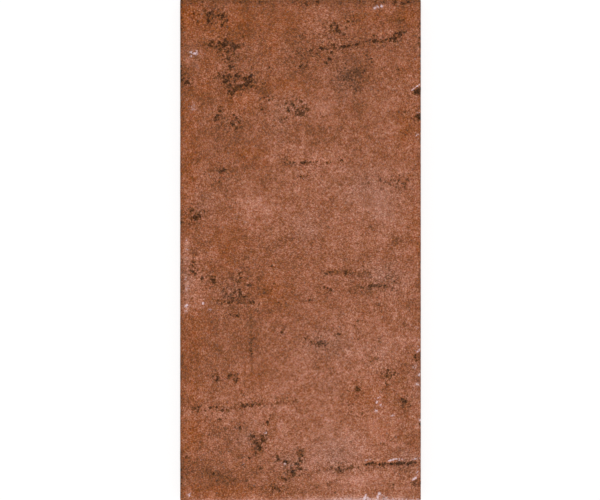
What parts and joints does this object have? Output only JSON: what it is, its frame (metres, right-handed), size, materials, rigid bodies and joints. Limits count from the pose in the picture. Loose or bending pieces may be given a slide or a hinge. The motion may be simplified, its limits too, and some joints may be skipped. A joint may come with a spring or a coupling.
{
  "type": "brick-look floor tile",
  "caption": "Oblong brick-red stoneware floor tile with a mottled, scorched and pitted face, pillowed and chipped edges, drafted sides and a keyed back for adhesive.",
  "frame": {"origin": "middle of the back, on the plane of the ribs that the tile is bedded on", "axes": "+Z out of the walking face, +Y along the length, +X across the width; the picture's top edge is the +Y end"},
  "size_m": [0.12, 0.25, 0.0095],
  "materials": {
    "fired_clay": "matte"
  },
  "bodies": {
    "root": {"floor_tile": "fired_clay"}
  },
  "joints": []
}
